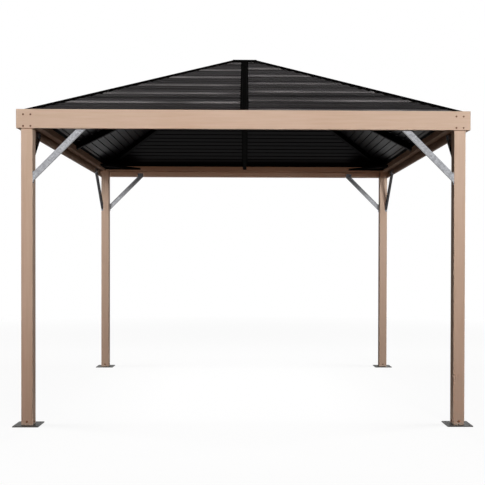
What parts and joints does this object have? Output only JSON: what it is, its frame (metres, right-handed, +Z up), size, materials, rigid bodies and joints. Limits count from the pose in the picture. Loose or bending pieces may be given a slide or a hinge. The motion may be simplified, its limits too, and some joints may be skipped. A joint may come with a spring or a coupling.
{
  "type": "metal gazebo",
  "caption": "Square open-sided metal gazebo with slim posts on anchor plates, knee braces, a deep fascia and a ribbed hip roof with a flat cap.",
  "frame": {"origin": "on the ground under the peak of the roof", "axes": "+Z up, the front bay faces -Y, +X to the right seen from the front"},
  "size_m": [3.046, 3.046, 2.784],
  "materials": {
    "tan_coat": "satin textured coat",
    "plate_coat": "satin coat",
    "galvanised": "galvanised",
    "black_coat": "satin coat",
    "charcoal_sheet": "satin coat"
  },
  "bodies": {
    "root": {"front_left_post": "tan_coat", "front_left_base_plate": "plate_coat", "front_left_knee_braces": "galvanised", "front_left_hip_rafter": "black_coat", "front_left_hip_cap": "black_coat", "front_right_post": "tan_coat", "front_right_base_plate": "plate_coat", "front_right_knee_braces": "galvanised", "front_right_hip_rafter": "black_coat", "front_right_hip_cap": "black_coat", "rear_right_post": "tan_coat", "rear_right_base_plate": "plate_coat", "rear_right_knee_braces": "galvanised", "rear_right_hip_rafter": "black_coat", "rear_right_hip_cap": "black_coat", "rear_left_post": "tan_coat", "rear_left_base_plate": "plate_coat", "rear_left_knee_braces": "galvanised", "rear_left_hip_rafter": "black_coat", "rear_left_hip_cap": "black_coat", "front_fascia": "tan_coat", "front_eave_rail": "tan_coat", "front_centre_rafter": "black_coat", "front_roof_panels": "charcoal_sheet", "front_joint_strip": "black_coat", "right_fascia": "tan_coat", "right_eave_rail": "tan_coat", "right_centre_rafter": "black_coat", "right_roof_panels": "charcoal_sheet", "right_joint_strip": "black_coat", "rear_fascia": "tan_coat", "rear_eave_rail": "tan_coat", "rear_centre_rafter": "black_coat", "rear_roof_panels": "charcoal_sheet", "rear_joint_strip": "black_coat", "left_fascia": "tan_coat", "left_eave_rail": "tan_coat", "left_centre_rafter": "black_coat", "left_roof_panels": "charcoal_sheet", "left_joint_strip": "black_coat", "corner_gussets": "black_coat", "crown_box": "black_coat", "eave_closers": "black_coat", "top_cap": "black_coat"}
  },
  "joints": []
}
